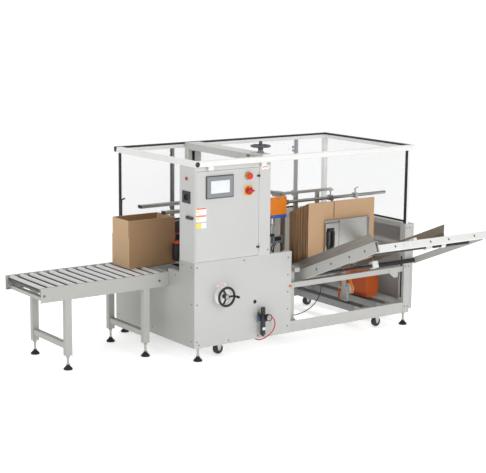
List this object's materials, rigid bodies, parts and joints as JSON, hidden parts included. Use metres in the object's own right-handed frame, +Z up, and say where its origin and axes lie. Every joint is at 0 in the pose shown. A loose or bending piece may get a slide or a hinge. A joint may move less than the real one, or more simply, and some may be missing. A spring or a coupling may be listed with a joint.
{
  "type": "carton sealer machine",
  "caption": "Automatic carton erector and bottom sealer with a sloping blank hopper, control cabinet, guard frame and roller outfeed table.",
  "frame": {"origin": "centre of the front left levelling foot's sole, on the floor", "axes": "+X along the machine's front from the outfeed table towards the blank hopper, +Y from the operator's side to the back, +Z up"},
  "size_m": [3.173, 1.8884, 1.536],
  "materials": {
    "frame_paint": "satin powder coat, warm light grey",
    "panel_paint": "satin powder coat, warm light grey",
    "foot_plastic": "black moulded pads on zinc plated studs",
    "fork_steel": "zinc plated",
    "caster_tread": "black nylon",
    "bezel": "matt grey moulding with a dark screen",
    "yellow_plate": "satin yellow",
    "red_knob": "glossy red",
    "fittings": "black socket and red lamp lens",
    "black_plastic": "semi-gloss black",
    "air_grey": "dark grey moulding with a clear bowl",
    "air_red": "red polyurethane tube",
    "lift_steel": "satin",
    "rail_aluminium": "clear anodised",
    "guard_white": "satin white aluminium profile",
    "clear_sheet": "clear polycarbonate",
    "roller_steel": "bright ground tube",
    "belt_black": "black housing and belt",
    "tape_steel": "dark plated",
    "hopper_paint": "satin powder coat, light grey",
    "guide_sheet": "brownish plated sheet",
    "pusher_sheet": "satin sheet",
    "gate_aluminium": "clear anodised",
    "arm_orange": "orange enamel plate on aluminium",
    "strap_orange": "orange enamel housing",
    "pulley_white": "white nylon",
    "board_brown": "brown corrugated board",
    "cable_black": "black cable sheath"
  },
  "bodies": {
    "machine": {"base_frame": "frame_paint", "front_panel": "panel_paint", "left_panel": "panel_paint", "rear_panel": "panel_paint", "right_panel": "panel_paint", "levelling_feet": "foot_plastic", "caster_forks": "fork_steel", "cabinet_box": "panel_paint", "side_fittings": "fittings", "air_unit": "air_grey", "air_hose": "air_red", "crossbeam_column": "frame_paint", "guard_frame": "guard_white", "guard_glazing": "clear_sheet", "conveyor_frame": "panel_paint", "belt_unit_far": "belt_black", "tape_head": "tape_steel", "hopper_frame": "hopper_paint", "hopper_guide_left": "guide_sheet", "blank_gate": "gate_aluminium", "strap_gear": "strap_orange", "blank_stack": "board_brown", "hopper_cable": "cable_black"},
    "cabinet_door": {"cabinet_door": "panel_paint", "hmi_panel": "bezel", "switch_plates": "yellow_plate"},
    "estop": {"estop_button": "red_knob"},
    "main_switch": {"main_switch_knob": "red_knob"},
    "side_latch": {"side_latch": "black_plastic"},
    "belt_near": {"belt_unit_near": "belt_black"},
    "front_handwheel": {"front_handwheel": "black_plastic"},
    "crank_grip": {"crank_grip": "black_plastic"},
    "regulator_knob": {"regulator_knob": "black_plastic"},
    "lift": {"lift_carriage": "lift_steel", "press_rails": "rail_aluminium"},
    "top_handwheel": {"top_handwheel": "black_plastic"},
    "guard_door_left": {"guard_door_left": "clear_sheet"},
    "guard_door_right": {"guard_door_right": "clear_sheet"},
    "suction_arm": {"suction_arm": "arm_orange"},
    "blank_pusher": {"blank_pusher": "pusher_sheet"},
    "strap_pulley": {"strap_pulley": "pulley_white"},
    "hopper_guide": {"hopper_guide_right": "guide_sheet"},
    "carton": {"erected_carton": "board_brown"},
    "caster_front_left": {"caster_wheel_front_left": "caster_tread"},
    "caster_front_right": {"caster_wheel_front_right": "caster_tread"},
    "caster_rear_left": {"caster_wheel_rear_left": "caster_tread"},
    "caster_rear_right": {"caster_wheel_rear_right": "caster_tread"},
    "roller_01": {"roller_01": "roller_steel"},
    "roller_02": {"roller_02": "roller_steel"},
    "roller_03": {"roller_03": "roller_steel"},
    "roller_04": {"roller_04": "roller_steel"},
    "roller_05": {"roller_05": "roller_steel"},
    "roller_06": {"roller_06": "roller_steel"},
    "roller_07": {"roller_07": "roller_steel"},
    "roller_08": {"roller_08": "roller_steel"},
    "roller_09": {"roller_09": "roller_steel"},
    "roller_10": {"roller_10": "roller_steel"},
    "roller_11": {"roller_11": "roller_steel"},
    "roller_12": {"roller_12": "roller_steel"},
    "roller_13": {"roller_13": "roller_steel"}
  },
  "joints": [
    {"name": "cabinet_door_hinge", "type": "hinge", "parent": "machine", "child": "cabinet_door", "pos_m": [0.5035, -0.041, 1.05], "axis": [0, 0, 1], "range_deg": [0, 110]},
    {"name": "guard_door_left_hinge", "type": "hinge", "parent": "machine", "child": "guard_door_left", "pos_m": [0.439, 1.03, 1.145], "axis": [0, 0, 1], "range_deg": [0, 100]},
    {"name": "guard_door_right_hinge", "type": "hinge", "parent": "machine", "child": "guard_door_right", "pos_m": [1.635, 1.03, 1.145], "axis": [0, 0, 1], "range_deg": [-100, 0]},
    {"name": "lift_slide", "type": "slide", "parent": "machine", "child": "lift", "axis": [0, 0, 1], "range_m": [-0.12, 0.25]},
    {"name": "top_handwheel_spin", "type": "hinge", "parent": "machine", "child": "top_handwheel", "pos_m": [0.633, 0.129, 1.5], "axis": [0, 0, 1], "range_deg": [-4400, 9100]},
    {"name": "belt_near_slide", "type": "slide", "parent": "machine", "child": "belt_near", "axis": [0, 1, 0], "range_m": [-0.12, 0]},
    {"name": "front_handwheel_spin", "type": "hinge", "parent": "machine", "child": "front_handwheel", "pos_m": [0.183, -0.096, 0.466], "axis": [0, 1, 0], "range_deg": [-4400, 100]},
    {"name": "suction_arm_slide", "type": "slide", "parent": "machine", "child": "suction_arm", "axis": [0, 1, 0], "range_m": [0, 0.5]},
    {"name": "blank_pusher_slide", "type": "slide", "parent": "machine", "child": "blank_pusher", "axis": [0, -0.9239, 0.3827], "range_m": [0, 0.66]},
    {"name": "strap_pulley_spin", "type": "hinge", "parent": "machine", "child": "strap_pulley", "pos_m": [1.643, 0.282, 0.28], "axis": [1, 0, 0], "range_deg": [-10, 1000]},
    {"name": "hopper_guide_slide", "type": "slide", "parent": "machine", "child": "hopper_guide", "axis": [1, 0, 0], "range_m": [0, 0.2]},
    {"name": "carton_slide", "type": "slide", "parent": "machine", "child": "carton", "axis": [-1, 0, 0], "range_m": [-0.38, 0.85]},
    {"name": "estop_press", "type": "slide", "parent": "cabinet_door", "child": "estop", "axis": [0, 1, 0], "range_m": [0, 0.006], "stiffness_N_per_m": 2500},
    {"name": "main_switch_turn", "type": "hinge", "parent": "cabinet_door", "child": "main_switch", "pos_m": [0.405, -0.046, 1.21], "axis": [0, 1, 0], "range_deg": [0, 90]},
    {"name": "side_latch_turn", "type": "hinge", "parent": "machine", "child": "side_latch", "pos_m": [-0.056, 0.05, 1.043], "axis": [1, 0, 0], "range_deg": [0, 90]},
    {"name": "crank_grip_spin", "type": "hinge", "parent": "front_handwheel", "child": "crank_grip", "pos_m": [0.249, -0.133, 0.466], "axis": [0, 1, 0], "continuous": true},
    {"name": "regulator_knob_turn", "type": "hinge", "parent": "machine", "child": "regulator_knob", "pos_m": [0.52, -0.078, 0.32], "axis": [0, 0, 1], "range_deg": [-360, 360]},
    {"name": "caster_front_left_roll", "type": "hinge", "parent": "machine", "child": "caster_front_left", "pos_m": [0.224, 0.073, 0.044], "axis": [0, 1, 0], "continuous": true},
    {"name": "caster_front_right_roll", "type": "hinge", "parent": "machine", "child": "caster_front_right", "pos_m": [1.739, 0.06, 0.044], "axis": [0, 1, 0], "continuous": true},
    {"name": "caster_rear_left_roll", "type": "hinge", "parent": "machine", "child": "caster_rear_left", "pos_m": [0.224, 0.939, 0.044], "axis": [0, 1, 0], "continuous": true},
    {"name": "caster_rear_right_roll", "type": "hinge", "parent": "machine", "child": "caster_rear_right", "pos_m": [1.739, 0.939, 0.044], "axis": [0, 1, 0], "continuous": true},
    {"name": "roller_01_spin", "type": "hinge", "parent": "machine", "child": "roller_01", "pos_m": [-0.114, 0.571, 0.581], "axis": [0, 1, 0], "continuous": true},
    {"name": "roller_02_spin", "type": "hinge", "parent": "machine", "child": "roller_02", "pos_m": [-0.192, 0.571, 0.581], "axis": [0, 1, 0], "continuous": true},
    {"name": "roller_03_spin", "type": "hinge", "parent": "machine", "child": "roller_03", "pos_m": [-0.27, 0.571, 0.581], "axis": [0, 1, 0], "continuous": true},
    {"name": "roller_04_spin", "type": "hinge", "parent": "machine", "child": "roller_04", "pos_m": [-0.348, 0.571, 0.581], "axis": [0, 1, 0], "continuous": true},
    {"name": "roller_05_spin", "type": "hinge", "parent": "machine", "child": "roller_05", "pos_m": [-0.426, 0.571, 0.581], "axis": [0, 1, 0], "continuous": true},
    {"name": "roller_06_spin", "type": "hinge", "parent": "machine", "child": "roller_06", "pos_m": [-0.504, 0.571, 0.581], "axis": [0, 1, 0], "continuous": true},
    {"name": "roller_07_spin", "type": "hinge", "parent": "machine", "child": "roller_07", "pos_m": [-0.582, 0.571, 0.581], "axis": [0, 1, 0], "continuous": true},
    {"name": "roller_08_spin", "type": "hinge", "parent": "machine", "child": "roller_08", "pos_m": [-0.66, 0.571, 0.581], "axis": [0, 1, 0], "continuous": true},
    {"name": "roller_09_spin", "type": "hinge", "parent": "machine", "child": "roller_09", "pos_m": [-0.738, 0.571, 0.581], "axis": [0, 1, 0], "continuous": true},
    {"name": "roller_10_spin", "type": "hinge", "parent": "machine", "child": "roller_10", "pos_m": [-0.816, 0.571, 0.581], "axis": [0, 1, 0], "continuous": true},
    {"name": "roller_11_spin", "type": "hinge", "parent": "machine", "child": "roller_11", "pos_m": [-0.894, 0.571, 0.581], "axis": [0, 1, 0], "continuous": true},
    {"name": "roller_12_spin", "type": "hinge", "parent": "machine", "child": "roller_12", "pos_m": [-0.972, 0.571, 0.581], "axis": [0, 1, 0], "continuous": true},
    {"name": "roller_13_spin", "type": "hinge", "parent": "machine", "child": "roller_13", "pos_m": [-1.05, 0.571, 0.581], "axis": [0, 1, 0], "continuous": true}
  ],
  "couplings": [
    {"joint": "top_handwheel_spin", "follows": "lift_slide", "rad_per_m": 628.32},
    {"joint": "front_handwheel_spin", "follows": "belt_near_slide", "rad_per_m": 628.32},
    {"joint": "strap_pulley_spin", "follows": "blank_pusher_slide", "rad_per_m": 24.7}
  ]
}
